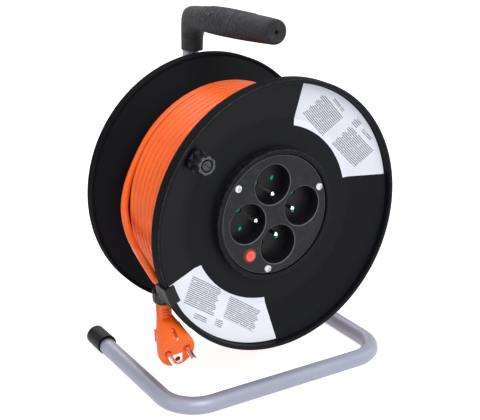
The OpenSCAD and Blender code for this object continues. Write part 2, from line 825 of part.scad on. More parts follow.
// contact bar: four pin sleeves joined by a flat ring behind the base
module bus(side, mid) {
    pin_at = norm([well_r, pin_gap / 2]);
    reach = contact_in + 0.5;
    arm_from = mid > pin_at ? pin_at + reach : mid;
    arm_to = mid > pin_at ? mid : pin_at - reach;
    difference() {
        union() {
            difference() {
                disc_y(mid + bus_w / 2, base_back + 0.01, base_back + bus_t);
                disc_y(mid - bus_w / 2, base_back - 1, base_back + bus_t + 1);
            }
            for (k = [0 : 3]) {
                at_well(k) translate([0, 0, side * pin_gap / 2])
                    disc_y(contact_out, contact_front, base_back + bus_t);
                turned(wells_at[k] + face_turn + side * atan(pin_gap / 2 / well_r))
                    translate([arm_from, base_back + 0.01, -bus_w / 2])
                        cube([arm_to - arm_from, bus_t - 0.01, bus_w]);
            }
        }
        for (k = [0 : 3]) at_well(k) translate([0, 0, side * pin_gap / 2])
            disc_y(contact_in, contact_front - 1, base_back + bus_t + 1);
    }
}

module line_contacts() color("goldenrod") placed() bus(1, line_ring_r);
module neutral_contacts() color("goldenrod") placed() bus(-1, neutral_ring_r);

// shutter plate in the frame of its socket: windows lie off the openings until it is pushed inward
module shutter(k) {
    color("#1f9a55") placed() at_well(k) difference() {
        translate([-2.9, shutter_y, -13]) cube([13.4, shutter_t, 26]);
        for (s = [-1, 1]) translate([shutter_travel, 0, s * pin_gap / 2])
            disc_y(pin_hole_d / 2 + 0.15, shutter_y - 1, shutter_y + shutter_t + 1);
        // notch that clears the earth pin
        translate([-4, shutter_y - 1, -3.6]) cube([5.6, shutter_t + 2, 7.2]);
    }
}

module shutter_1() shutter(0);
module shutter_2() shutter(1);
module shutter_3() shutter(2);
module shutter_4() shutter(3);

// ---------- reset button ----------

module at_button() at_face(button_r, button_at + face_turn) children();

module button_collar() {
    color("#8e1f1a") placed() at_button() difference() {
        union() {
            disc_y(collar_body_r, panel_y - 0.1, ledge_y + 0.4);
            y_rod(panel_y - collar_h)
                cylinder(r1 = collar_d / 2 - 0.5, r2 = collar_d / 2, h = collar_h - 0.01);
        }
        disc_y(button_d / 2 + slip, panel_y - 2, ledge_y + 2);
    }
}

module reset_button() {
    top = panel_y - 2.1;
    shoulder = ledge_y + 0.8 - top;
    back = shoulder + 1.6;
    color("#ff6e50") placed() at_button() y_rod(top) rotate_extrude($fn = 64) polygon([[0, 0],
        [button_d / 2 - 1, 0], [button_d / 2 - 0.2, 0.3], [button_d / 2, 1], [button_d / 2, shoulder],
        [button_d / 2 + 1, shoulder], [button_d / 2 + 1, back], [button_rod_r, back],
        [button_rod_r, cutout_room + 5.2 - top], [0, cutout_room + 5.2 - top]]);
}

spring_r = 4;
spring_wire = 0.35;
spring_turns = 4;
spring_from = ledge_y + 2.4 + 0.05 + spring_wire;
spring_to = cutout_room - button_travel - 0.35 - spring_wire;
spring_path = [for (k = [0 : 12 * spring_turns])
    [spring_r * cos(k * 30), spring_from + (spring_to - spring_from) * k / (12 * spring_turns),
        spring_r * sin(k * 30)]];

module reset_spring() {
    color("silver") placed() at_button() tube_of(tube_rings(spring_path, spring_wire, 6, [0, 1, 0]));
}

module thermal_cutout() {
    color("#1d1e21") placed() at_button() {
        difference() {
            disc_y(cutout_r, ledge_y + 0.42, cutout_back);
            disc_y(button_d / 2 + 1.35, ledge_y, cutout_room);
            disc_y(button_rod_r + slip, cutout_room - 1, cutout_room + 8.2);
        }
        for (s = [-4, 4]) translate([-3, cutout_back - 1, s - 0.4]) cube([6, 5, 0.8]);
    }
}

// ---------- incoming cable inside the drum ----------

module lead_in() {
    color("#f2641c") placed() turned(lead_at) translate([lead_end, lead_y, 0]) rotate([0, 90, 0])
        cylinder(r = cable_r, h = barrel_r - lead_end - 0.05, $fn = 48);
}

module cable_clamp() {
    y1 = lead_y + cable_r + 2.5;
    color("#2a2b2f") placed() turned(lead_at) difference() {
        translate([clamp_r - 3.4, base_back + 0.01, -11.5]) cube([6.4, y1 - base_back, 23]);
        translate([clamp_r - 5, lead_y, 0]) rotate([0, 90, 0]) cylinder(r = cable_r + fit, h = 10, $fn = 48);
        translate([clamp_r - 5, base_back - 1, -cable_r - 0.4])
            cube([10, lead_y - base_back + 1, cable_d + 0.8]);
        for (s = [-1, 1]) translate([clamp_r, 0, s * clamp_hole])
            disc_y(clamp_screw_r + 0.22, base_back - 1, y1 + 1);
    }
}

module clamp_screws() {
    y1 = lead_y + cable_r + 2.5;
    color("silver") placed() at_clamp_holes() difference() {
        union() {
            disc_y(clamp_screw_r, base_y + 2, y1 + 0.5);
            disc_y(2.6, y1 + 0.02, y1 + 1.8);
        }
        turned(30) translate([-3, y1 + 1.1, -0.35]) cube([6, 1, 0.7]);
    }
}

wire_r = 1.3;
module wire(points, paint) {
    path = concat(smooth(points, 4), [points[len(points) - 1]]);
    color(paint) placed() tube_of(tube_rings(path, wire_r, 8, [0, 1, 0.01]));
}

lead_tip = on_drum(lead_end, lead_at, lead_y);
lead_way = -on_drum(1, lead_at, 0); // the way the cores leave the sheath
lead_side = on_drum(1, lead_at + 90, 0);
core_in = 1.75; // distance of a core from the middle of the sheath
wire_gap = 0.3; // between a wire's end and what it is fixed to
cutout_at = on_drum(button_r, button_at + face_turn, cutout_back + 4 + wire_gap);
blade_side = 4 * on_drum(1, button_at + face_turn + 90, 0);
bus_back = base_back + bus_t + wire_gap;
up = [0, 1, 0];

function core_at(a) = lead_tip + 0.9 * lead_way + core_in * (cos(a) * up + sin(a) * lead_side);

// the three cores of the lead and the link from the cut-out to the line bar
module wire_line() {
    to = cutout_at + blade_side;
    wire([core_at(0), core_at(0) + 3 * lead_way, [2, 59.5, -31], [-14, 60, -34],
        to + [1, 8, 0.5], to + 3 * up, to], "saddlebrown");
}

module wire_link() {
    from = cutout_at - blade_side;
    to = on_drum(line_ring_r, 200, bus_back);
    wire([from, from + 3 * up, from + [1.5, 7, 4], [-28, 57, -18],
        to + [-1, 6, -2], to + 3 * up, to], "saddlebrown");
}

module wire_neutral() {
    to = on_drum(neutral_ring_r, -38, bus_back);
    wire([core_at(120), core_at(120) + 3 * lead_way, [23.5, 57.5, -29.5], to + [-2.5, 5.5, -1.5],
        to + 3 * up, to], "royalblue");
}

module wire_earth() {
    to = [0, base_back + 2.8 + wire_gap, 0];
    wire([core_at(240), core_at(240) + 3 * lead_way, [9, 56.5, -19], to + [1.5, 5.5, -4],
        to + 3 * up, to], "yellowgreen");
}

// ---------- crank knob ----------

module at_knob() at_face(knob_r, knob_at) children();

module crank_knob() {
    l = knob_foot_y - knob_front;
    color("#202124") placed() at_knob() difference() {
        y_rod(knob_front) rotate_extrude($fn = 96) polygon([[0, 0.6], [knob_end_d / 2 - 2.6, 0.6],
            [knob_end_d / 2 - 1.6, 0], [knob_end_d / 2 - 0.6, 0.3], [knob_end_d / 2, 1.3],
            [knob_end_d / 2 + 0.3, l * 0.6], [knob_foot_d / 2, l - 2], [knob_foot_d / 2, l], [0, l]]);
        for (k = [0 : 7]) turned(k * 45) translate([knob_end_d / 2 + 1.4, 0, 0])
            disc_y(2.6, knob_front - 1, knob_foot_y - 4);
        disc_y(knob_end_d / 2 - 3, knob_front - 1, knob_front + knob_recess);
        disc_y(knob_pin_d / 2 + slip, knob_front, knob_foot_y + 1);
    }
}

module knob_pin() {
    head_y = knob_front + 0.9;
    color("#3c3d42") placed() at_knob() difference() {
        union() {
            disc_y(knob_pin_d / 2, head_y + 1, knob_seat_y + 5);
            y_rod(head_y) cylinder(r1 = knob_end_d / 2 - 4.6, r2 = knob_end_d / 2 - 4,
                h = knob_recess - run_gap - 0.9);
        }
        translate([-3.6, head_y - 1, -0.6]) cube([7.2, 1.8, 1.2]);
    }
}

module knob_nut() {
    y0 = knob_seat_y + 0.01;
    color("silver") placed() at_knob() difference() {
        y_rod(y0) cylinder(r = 5.8, h = 4, $fn = 6);
        disc_y(knob_pin_d / 2 + fit, y0 - 1, y0 + 6);
    }
}

// ---------- plug ----------

module plug_body() {
    color("#f2641c") placed() on_plug() difference() {
        union() {
            // body between the pin face and the back
            hull() {
                translate([0, face_y, pins_z]) y_rod() cylinder(r = plug_r - 0.8, h = 1, $fn = 48);
                translate([0, face_y + 1.2, pins_z]) y_rod() cylinder(r = plug_r, h = 5, $fn = 48);
                translate([0, -5, pins_z + 3]) sphere(r = 10.6, $fn = 32);
                translate([0, 0, pins_z + 19]) sphere(r = neck_d / 2 + 0.2, $fn = 32);
            }
            // neck with its taper under the clip
            translate([0, 0, pins_z + 20]) cylinder(r = neck_d / 2, h = -pins_z - 20);
            cylinder(r1 = neck_d / 2, r2 = neck_top_r, h = neck_up - 2);
            translate([0, 0, neck_up - 2.01]) cylinder(r = neck_top_r, h = 2);
            // side grips
            for (s = [-1, 1], k = [0 : 3]) translate([s * 10.6, -6 - k * rib_step, pins_z + 6])
                cube([5, 1.6, 15], center = true);
        }
        // slots of the flexible neck
        for (k = [0 : 7]) translate([0, 0, -4.5 - k * rib_step / 2]) rotate([0, 0, k % 2 * 90]) difference() {
            cube([24, 24, 1.3], center = true);
            cube([neck_d - 3.4, 30, 2], center = true);
        }
        // rings sunk round the pins, and the recess of the earth contact
        at_pins() {
            disc_y(plug_pin_d / 2 + 1, face_y - 1, face_y + 1.4);
            disc_y(plug_root_r + fit, face_y, face_y + 12);
        }
        translate([-5, face_y - 1, pins_z - earth_off - 5]) cube([10, 8, 11]);
        // recess of the side contact
        translate([0, face_y + 5, pins_z + 18]) cube([3, 14, 5], center = true);
    }
}

module plug_pins() {
    color("silver") placed() on_plug() at_pins()
        y_rod(face_y - plug_pin_l) rotate_extrude($fn = 48) polygon([[0, 0], [plug_pin_d / 2 - 1.2, 0],
            [plug_pin_d / 2 - 0.3, 0.8], [plug_pin_d / 2, 2], [plug_pin_d / 2, plug_pin_l - 0.1],
            [plug_root_r, plug_pin_l - 0.1], [plug_root_r, plug_pin_l + 11], [0, plug_pin_l + 11]]);
}

module plug_earth_contact() {
    z = pins_z - earth_off;
    color("gainsboro") placed() on_plug() difference() {
        union() {
            translate([-4.9, face_y + 0.6, z - 4.9]) cube([9.8, 1.2, 10.8]);
            translate([-4.9, face_y + 0.6, z - 4.9]) cube([1, 6, 10.8]);
            translate([3.9, face_y + 0.6, z - 4.9]) cube([1, 6, 10.8]);
        }
        translate([0, 0, z]) disc_y(earth_d / 2 + 0.3, face_y - 1, face_y + 4);
    }
}

// holder moulded to hook over the rim and to grip the neck
module plug_clip() {
    o = flange_r + run_gap;
    clip_in = lip_r - 3.5;
    color("#1c1d20") placed() difference() {
        union() {
            y_sector(clip_from, clip_to) difference() {
                translate([clip_in, -run_gap - clip_t])
                    square([o + clip_t - clip_in, rim_w + 2 * run_gap + 2 * clip_t]);
                translate([clip_in - 1, -run_gap]) square([o - clip_in + 1, rim_w + 2 * run_gap]);
                translate([clip_in - 1, 0]) square([lip_r - clip_in + 1.8, rim_w + 20]);
            }
            on_plug() translate([0, 0, 1]) cylinder(r = neck_d / 2 + 2.1, h = 11.5);
            // web between the two
            hull() {
                on_plug() translate([-3, -3.5, 2]) cylinder(r = 4, h = 9.5, $fn = 24);
                y_sector(clip_from + 0.6, clip_to - 0.6)
                    translate([o + 0.2, rim_w - 4]) square([clip_t - 0.4, 7]);
            }
            // ridges
            on_plug() for (k = [0 : 6]) rotate([0, 0, 150 + k * 24])
                translate([neck_d / 2 + 2.1, 0, 1.6]) cylinder(r = 0.6, h = 10.3, $fn = 48);
        }
        on_plug() {
            translate([0, 0, -1]) cylinder(r = neck_d / 2 + fit, h = 3);
            translate([0, 0, -eps]) cylinder(r1 = neck_d / 2 + 0.1, r2 = neck_top_r + 0.2, h = neck_up - 2);
            cylinder(r = neck_top_r + 0.1, h = 30);
        }
        // the rim and the plate behind it run through with room all round
        y_spin() polygon([[lip_r - run_gap - 1, -run_gap], [o, -run_gap], [o, rim_w + run_gap],
            [lip_r - 1, rim_w + run_gap], [lip_r - 20, cone_y(lip_r - 20) + plate_t + 3 * run_gap],
            [lip_r - 20, dish_start], [lip_r - run_gap - 1, dish_start]]);
    }
}

// ---------- output ----------

frame_tube();
foot_plug();
handle_grip();
grip_screw();
axle_bracket();
bracket_clamp();
bracket_bolts();
bracket_nuts();
axle();
axle_washers();
axle_nut();
front_flange();
rear_flange();
drum_barrel();
tie_screws();
bearing_bushes();
cable_core();
cable_outer_layer();
cable_tail();
label_upper();
label_lower();
socket_panel();
panel_screws();
contact_base();
base_screw();
earth_pins();
earth_plate();
line_contacts();
neutral_contacts();
shutter_1();
shutter_2();
shutter_3();
shutter_4();
button_collar();
reset_button();
reset_spring();
thermal_cutout();
lead_in();
cable_clamp();
clamp_screws();
wire_line();
wire_link();
wire_neutral();
wire_earth();
knob_pin();
knob_nut();
crank_knob();
plug_body();
plug_pins();
plug_earth_contact();
plug_clip();
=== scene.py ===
import math
import bmesh
import bpy
from mathutils import Matrix, Vector


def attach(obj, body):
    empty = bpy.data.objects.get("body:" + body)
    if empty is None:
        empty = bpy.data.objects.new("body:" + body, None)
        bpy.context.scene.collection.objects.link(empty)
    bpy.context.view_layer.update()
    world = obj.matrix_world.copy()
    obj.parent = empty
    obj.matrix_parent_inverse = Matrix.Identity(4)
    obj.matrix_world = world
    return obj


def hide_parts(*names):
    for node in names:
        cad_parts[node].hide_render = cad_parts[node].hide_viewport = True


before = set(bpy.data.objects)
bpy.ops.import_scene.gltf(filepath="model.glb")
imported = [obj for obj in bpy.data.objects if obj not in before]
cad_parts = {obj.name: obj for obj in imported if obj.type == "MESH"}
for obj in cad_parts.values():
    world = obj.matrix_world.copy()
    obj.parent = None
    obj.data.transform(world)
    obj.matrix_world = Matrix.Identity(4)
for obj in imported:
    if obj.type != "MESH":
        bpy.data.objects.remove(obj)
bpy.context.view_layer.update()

# ---------------------------------------------------------------- camera, floor and light
# A plain white table top, one big soft lamp above and in front, a weaker one from each side and
# one from behind. The camera stands a little above the reel and to its left.

camera = bpy.data.objects.new("camera", bpy.data.cameras.new("camera"))
bpy.context.collection.objects.link(camera)
camera.data.lens, camera.data.sensor_width = 76.9, 36
yaw, pitch, roll = (math.radians(a) for a in (32.69, 19.82, -0.88))
ahead = Vector((math.sin(yaw) * math.cos(pitch), math.cos(yaw) * math.cos(pitch), -math.sin(pitch)))
level = Vector((math.cos(yaw), -math.sin(yaw), 0))
below = ahead.cross(level)
to_right = math.cos(roll) * level + math.sin(roll) * below
to_foot = math.cos(roll) * below - math.sin(roll) * level
camera.matrix_world = Matrix.Translation((-0.5285, -0.8296, 0.5110)) @ \
    Matrix((to_right, -to_foot, -ahead)).transposed().to_4x4()
bpy.context.scene.camera = camera
bpy.context.scene.view_settings.view_transform = "Standard"


class Value:
    """A shader socket that takes part in sums."""

    def __init__(self, finish, socket):
        self.finish, self.socket = finish, socket

    def maths(self, kind, first, second):
        return self.finish.node("Math", {"operation": kind}, {0: first, 1: second})

    def __add__(self, other): return self.maths("ADD", self, other)
    def __radd__(self, other): return self.maths("ADD", other, self)
    def __sub__(self, other): return self.maths("SUBTRACT", self, other)
    def __rsub__(self, other): return self.maths("SUBTRACT", other, self)
    def __mul__(self, other): return self.maths("MULTIPLY", self, other)
    def __rmul__(self, other): return self.maths("MULTIPLY", other, self)
    def __truediv__(self, other): return self.maths("DIVIDE", self, other)
    def __rtruediv__(self, other): return self.maths("DIVIDE", other, self)
    def __gt__(self, other): return self.maths("GREATER_THAN", self, other)
    def __lt__(self, other): return self.maths("LESS_THAN", self, other)
    def __pow__(self, other): return self.maths("POWER", self, other)
    def __mod__(self, other): return self.maths("FLOORED_MODULO", self, other)
    def __abs__(self): return self.maths("ABSOLUTE", self, 0)


class Finish:
    """A material and the one method that adds a node to it."""

    def __init__(self, name, tree=None):
        if tree is None:
            self.material = bpy.data.materials.new(name)
            self.material.use_nodes = True
            tree = self.material.node_tree
        self.tree = tree
        tree.nodes.clear()

    def node(self, kind, settings, sockets, out=0):
        """Adds a node: its type, then its settings, then the values or links of its sockets."""
        made = self.tree.nodes.new("ShaderNode" + kind)
        for name, value in settings.items():
            if name == "stops":
                ramp = made.color_ramp.elements
                while len(ramp) < len(value):
                    ramp.new(0.5)
                for stop, (place, colour) in zip(ramp, value):
                    stop.position, stop.color = place, colour
            else:
                setattr(made, name, value)
        for name, value in sockets.items():
            if isinstance(value, Value):
                self.tree.links.new(value.socket, made.inputs[name])
            else:
                made.inputs[name].default_value = value
        return Value(self, made.outputs[out]) if made.outputs else None

    def blend(self, share, first, second):
        """Mixes two colours."""
        first, second = (c if isinstance(c, Value) else (*c, 1) for c in (first, second))
        return self.node("Mix", {"data_type": "RGBA"}, {0: share, 6: first, 7: second}, 2)

    def place(self):
        return self.node("TexCoord", {}, {}, "Object")

    def noise(self, place, scale, detail=2.0, rough=0.5):
        return self.node("TexNoise", {}, {"Vector": place, "Scale": scale, "Detail": detail, "Roughness": rough})

    def ramp(self, value, low, high):
        """0 below low, 1 above high."""
        return self.node("MapRange", {"clamp": True}, {"Value": value, "From Min": low, "From Max": high})

    def surface(self, **sockets):
        """Ends the material in one plain surface shader."""
        named = {name.replace("_", " "): value for name, value in sockets.items()}
        self.node("OutputMaterial", {}, {"Surface": self.node("BsdfPrincipled", {}, named)})
        return self.material


# white table top that keeps a soft shadow and reads as paper white
floor_size = 6
mesh = bpy.data.meshes.new("floor")
mesh.from_pydata([(x * floor_size, y * floor_size, 0) for x, y in ((-1, -1), (1, -1), (1, 1), (-1, 1))],
                 [], [(0, 1, 2, 3)])
floor = bpy.data.objects.new("floor", mesh)
bpy.context.collection.objects.link(floor)
white = Finish("floor_white")
seen = white.node("LightPath", {}, {}, "Is Camera Ray") + white.node("LightPath", {}, {}, "Is Glossy Ray")
paper = white.node("BsdfDiffuse", {}, {"Color": (0.84, 0.84, 0.85, 1)})
lift = white.node("Emission", {}, {"Color": (1, 1, 1, 1), "Strength": seen * 0.76})
white.node("OutputMaterial", {}, {"Surface": white.node("AddShader", {}, {0: paper, 1: lift})})
mesh.materials.append(white.material)

world = bpy.data.worlds.new("studio")
world.use_nodes = True
bpy.context.scene.world = world
air = Finish("studio", world.node_tree)
seen = air.node("LightPath", {}, {}, "Is Camera Ray") + air.node("LightPath", {}, {}, "Is Glossy Ray")
air.node("OutputWorld", {}, {"Surface": air.node("Background", {}, {
    "Color": (1, 1, 1, 1), "Strength": 0.40 + seen * 0.6})})

for name, spot, aim, width, power in (
        ("key_lamp", (-0.2, -1.4, 1.6), (0, 0, 0.15), 1.3, 27),
        ("left_lamp", (-1.5, -0.2, 0.7), (0, 0, 0.15), 0.9, 3),
        ("right_lamp", (1.5, -0.7, 0.9), (0, 0, 0.15), 1.0, 5),
        ("back_lamp", (0.2, 1.5, 1.4), (0, 0, 0.2), 1.0, 9)):
    lamp = bpy.data.objects.new(name, bpy.data.lights.new(name, "AREA"))
    bpy.context.collection.objects.link(lamp)
    lamp.data.size, lamp.data.energy = width, power
    lamp.matrix_world = Matrix.Translation(spot) @ \
        (Vector(aim) - Vector(spot)).to_track_quat("-Z", "Y").to_matrix().to_4x4()

# ---------------------------------------------------------------- cable
# Three-core PVC flex, 7.4 mm thick, wound on the drum turn beside turn. The last turn lies still
# and its end swings forward and down to the moulded plug, which is parked at the front rim.

axis_height, half_depth, rim_radius = 173.0, 83.32, 135.0
cable_thick = 7.4
wind_radius, last_depth, cable_pitch, wind_turns = 109.5, 107.5, 7.85, 9
opened_at, leaves_at = -100, 150  # degrees round the drum between which the last turn lies
neck_direction, neck_depth, neck_top = 209.2, 23.5, 12


def reel_point(x, y, z):
    """A point given in millimetres from the middle of the front rim, put in the model."""
    return Vector((x, y - half_depth, z + axis_height)) / 1000


def on_drum(radius, degrees, depth):
    """A point round the axis of the drum, in millimetres."""
    return Vector((radius * math.cos(math.radians(degrees)), depth, radius * math.sin(math.radians(degrees))))


def eased(points, steps):
    """A smooth line through given points."""
    line = []
    for i in range(len(points) - 1):
        a, b, c, d = (points[min(max(k, 0), len(points) - 1)] for k in (i - 1, i, i + 1, i + 2))
        for j in range(steps):
            t = j / steps
            line.append(0.5 * (2 * b + (c - a) * t + (2 * a - 5 * b + 4 * c - d) * t * t
                               + (3 * b - a - 3 * c + d) * t ** 3))
    return line + [points[-1]]


def flex(name, points, thick, material, body, sides=5):
    """A round flexible lead along a line of points in millimetres."""
    curve = bpy.data.curves.new(name, "CURVE")
    curve.dimensions = "3D"
    curve.bevel_depth, curve.bevel_resolution, curve.use_fill_caps = thick / 2000, sides, True
    spline = curve.splines.new("POLY")
    spline.points.add(len(points) - 1)
    for spot, point in zip(spline.points, points):
        spot.co = (*reel_point(*point), 1)
    spline.use_smooth = True
    lead = bpy.data.objects.new(name, curve)
    bpy.context.collection.objects.link(lead)
    curve.materials.append(material)
    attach(lead, body)
    return lead


def pvc(name, colour, rough, dirt, inlay=None):
    """Soft PVC: smooth, slightly cloudy, dulled where it has been handled, with a bright inlay or none."""
    sheath = Finish(name)
    place = sheath.place()
    cloud = sheath.noise(place, 38.0, 4.0, 0.6)
    pores = sheath.noise(place, 1500.0)
    handled = sheath.ramp(sheath.noise(place, 130.0, 5.0, 0.65), 0.52, 0.72)
    tint = sheath.blend(sheath.ramp(cloud, 0.3, 0.7), tuple(c * 0.9 for c in colour), colour)
    tint = sheath.blend(handled * dirt, tint, tuple(c * 0.62 + 0.012 for c in colour))
    bright = inlay(sheath) if inlay else 0.0
    tint = sheath.blend(bright, tint, (0.72, 0.70, 0.66))
    bump = sheath.node("Bump", {}, {"Strength": 0.22, "Distance": 0.0002, "Height": pores + cloud * 0.6})
    return sheath.surface(Base_Color=tint, Roughness=rough + cloud * 0.1 + handled * 0.1, Metallic=bright, IOR=1.42,
                          Normal=bump)


cable_orange = pvc("cable_orange", (1.0, 0.145, 0.013), 0.30, 0.22)

neck = on_drum(rim_radius, neck_direction, neck_depth)
plug_turn = (Matrix.Rotation(math.radians(-6.0), 3, "Z") @ Matrix.Rotation(math.radians(-7.1), 3, "Y")
             @ Matrix.Rotation(math.radians(12.2), 3, "X"))


def plug_point(x, y, z):
    """A point in the plug's own directions: x across the pins, y from the face back, z up the neck."""
    return plug_turn @ Vector((x, y, z)) + neck


leaves = on_drum(wind_radius, leaves_at, last_depth)
free_stretch = [leaves + Vector(v) for v in (
    (-5.6, 0, -10), (-10.7, 0, -20.4), (-15.4, -0.4, -31.3), (-19.1, -1.6, -42.8), (-21.8, -4.2, -53.5),
    (-23.3, -8.8, -63.4), (-24.3, -15.5, -71.9), (-25.3, -23.9, -78.2), (-26.3, -33, -82))]
free_stretch += [neck + Vector(v) for v in (
    (-5.4, 42.5, 37.3), (-7.4, 34, 37.1), (-9, 25, 35.7), (-9.5, 16.5, 32.6), (-8.5, 9, 27.6), (-6.1, 2.5, 20.9))]
free_stretch += [plug_point(0, 0, neck_top + cable_thick), plug_point(0, 0, neck_top)]
last_turn = [on_drum(wind_radius, a, last_depth) for a in range(opened_at, leaves_at + 1, 5)]
route = last_turn[:-1] + eased([last_turn[-1]] + free_stretch, 6)
cable_end = flex("cable_end", route, cable_thick, cable_orange, "stand", 8)
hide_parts("cable_tail")
route_length = sum((b - a).length for a, b in zip(route, route[1:])) / 1000

# outer layer: turns wound tight, a little wavy as a hand guides them, and drawn a trifle thicker
# than the cable so that the gaps between them stay narrow
turn_steps, layer_gap, thicker = 120, 0.9, 0.2
layer_rear = last_depth - cable_thick - layer_gap
layer_front = layer_rear - wind_turns * cable_pitch
turns = []
for k in range(wind_turns * turn_steps + 1):
    waver = 0.22 * math.sin(math.radians(k * 6 + 40)) + 0.12 * math.sin(math.radians(k * 15))
    turns.append(on_drum(wind_radius, -90 + k * 360 / turn_steps, layer_front + cable_pitch * k / turn_steps + waver))
overrun = 1.3  # steps by which both ends run on into the cable next to them
turns = [turns[0] + (turns[0] - turns[1]) * overrun] + turns + [turns[-1] + (turns[-1] - turns[-2]) * overrun]
cable_turns = flex("cable_turns", turns, cable_thick + thicker, cable_orange, "drum", 7)
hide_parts("cable_outer_layer")


def under_layer(radius, front, width, steps=72):
    """The line of an even layer of turns."""
    return [on_drum(radius, k * 360 / steps, front + cable_pitch * k / steps)
            for k in range(int(width / cable_pitch * steps))]


# the two layers below it, the lower one running on to the rear flange
upper, lower = under_layer(100.8, 27.4, 82), under_layer(93.0, 27.3, 96.4)
cable_layers = flex("cable_layers", upper + lower[::-1], cable_thick, cable_orange, "drum", 4)
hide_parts("cable_core")

# ---------------------------------------------------------------- stand
# One steel tube, 17 mm across, bent cold into floor loop and post and coated in silver-grey
# powder paint. A rubber-like black plug is pushed into the open end of the left leg.


def finish_on(material, *names):
    """Gives a material to pieces of the frame."""
    for name in names:
        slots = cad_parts[name].data.materials
        slots.clear()
        slots.append(material)


def reel_coordinates(finish):
    """Millimetres across, deep and up from the middle of the front rim."""
    place = finish.place()
    split = [finish.node("SeparateXYZ", {}, {"Vector": place}, axis) for axis in "XYZ"]
    return split[0] * 1000, split[1] * 1000 + half_depth, split[2] * 1000 - axis_height


tube_paint = Finish("tube_paint")
place = tube_paint.place()
flakes = tube_paint.node("SeparateColor", {}, {
    "Color": tube_paint.node("TexVoronoi", {}, {"Vector": place, "Scale": 2400.0}, "Color")}, "Red")
peel = tube_paint.noise(place, 420.0)
dull = tube_paint.noise(place, 26.0, 5.0)
knocks = tube_paint.ramp(tube_paint.noise(place, 210.0, 6.0, 0.7), 0.66, 0.72)
tint = tube_paint.blend(dull, (0.30, 0.32, 0.405), (0.375, 0.40, 0.495))
tint = tube_paint.blend(knocks * 0.5, tint, (0.22, 0.225, 0.26))
bump = tube_paint.node("Bump", {}, {"Strength": 0.12, "Distance": 0.0004,
                                    "Height": peel + flakes * 0.25 - knocks * 0.6})
tube_paint.surface(Base_Color=tint, Metallic=flakes * 0.25 + 0.1, Roughness=dull * 0.12 + 0.34 + knocks * 0.2,
                   Normal=bump)
finish_on(tube_paint.material, "frame_tube")


def moulded(name, colour, rough, shine=1.3, grain=0.3, rub=0.35, grain_size=2600.0):
    """Injection-moulded plastic: fine spark-eroded grain, slow shade changes and rubbed patches."""
    skin = Finish(name)
    place = skin.place()
    grains = skin.noise(place, grain_size)
    drift = skin.noise(place, 22.0, 4.0, 0.6)
    rubbed = skin.ramp(skin.noise(place, 160.0, 6.0, 0.7) * 0.6 + drift * 0.4, 0.56, 0.70)
    tint = skin.blend(drift, tuple(c * 0.8 for c in colour), tuple(c * 1.12 for c in colour))
    tint = skin.blend(rubbed * rub, tint, tuple(min(1.0, c * 1.5 + 0.006) for c in colour))
    bump = skin.node("Bump", {}, {"Strength": grain, "Distance": 0.00025, "Height": grains})
    return skin.surface(Base_Color=tint, Roughness=rough + grains * 0.1 - rubbed * 0.07, IOR=shine, Normal=bump)


finish_on(moulded("foot_black", (0.0025, 0.0028, 0.0045), 0.34, 1.2), "foot_plug")

# ---------------------------------------------------------------- handle
# Black grip moulded over the top of the post in soft plastic with a leathery grain. Broad
# ridges ring it under the fingers, and a small moulding hole is left in its end.

# outer point, inner point (depth, height) and half width of each section, from the sleeve up
grip_sections = (
    (186.7, 133.0, 162.0, 133.0, 10.9), (186.7, 142, 161.9, 140, 10.9), (186.7, 151, 161.3, 145.5, 11.1),
    (186.4, 160, 159.4, 149.4, 11.5), (185.2, 168.2, 156.6, 152.2, 12.0), (181.9, 174.2, 153.4, 153.9, 12.4),
    (176.0, 177.4, 150.0, 155.0, 12.8), (167, 178.8, 146.6, 155.4, 13.0), (156, 180.0, 142, 155.6, 13.2),
    (146, 181.4, 137.0, 155.7, 13.4), (134, 182.7, 130, 155.8, 13.6), (120, 183.8, 119, 156.1, 13.7),
    (100, 184.8, 99.6, 157.0, 13.7), (80, 185.3, 79.6, 158.2, 13.5), (60, 185.7, 59.6, 159.6, 13.2),
    (42, 186.1, 41.6, 161.0, 12.7), (28, 186.3, 27.6, 162.2, 12.2), (23.5, 186.2, 23.3, 162.6, 12.0))
grip_sides = 72
first_ridge, ridge_pitch, ridge_count = 63.0, 6.2, 12
ridge_rise, groove_drop, ridges_above = 1.3, 0.85, 165


def ridge_height(depth):
    """How far the grip stands proud at a depth."""
    step = (depth - first_ridge) / ridge_pitch
    if step < -0.5 or step > ridge_count - 0.5:
        return 0.0
    across = abs(step - round(step)) * 2
    return ridge_rise * (1 - across ** 3) - groove_drop


outer = eased([Vector((0, o_y, o_z)) for o_y, o_z, _, _, _ in grip_sections], 28)
inner = eased([Vector((half, i_y, i_z)) for _, _, i_y, i_z, half in grip_sections], 28)
rings = []
for above, under in zip(outer, inner):
    half = under.x
    under = Vector((0, under.y, under.z))
    centre, reach = (above + under) / 2, (above - under) / 2
    proud = ridge_height(centre.y)
    ring = []
    for k in range(grip_sides):
        turn = 2 * math.pi * k / grip_sides
        side = math.copysign(abs(math.sin(turn)) ** 0.94, math.sin(turn))
        lift = proud * (0.55 + 0.45 * math.cos(turn)) / reach.length if centre.z > ridges_above else 0
        ring.append(centre + reach * math.cos(turn) * (1 + lift) + Vector((half * side * (1 + lift), 0, 0)))
    rings.append(ring)

# the rounded end with its moulding hole: share of the last ring, depth
end_centre = (outer[-1] + Vector((0, inner[-1].y, inner[-1].z))) / 2
end_ring = rings[-1]
for share, depth in ((0.985, 22.0), (0.94, 20.9), (0.86, 20.25), (0.76, 20.0), (0.62, 20.1), (0.24, 20.2),
                     (0.17, 20.3), (0.155, 20.9), (0.15, 27.0), (0.02, 27.6)):
    rings.append([Vector((p.x * share, depth, end_centre.z + (p.z - end_centre.z) * share)) for p in end_ring])

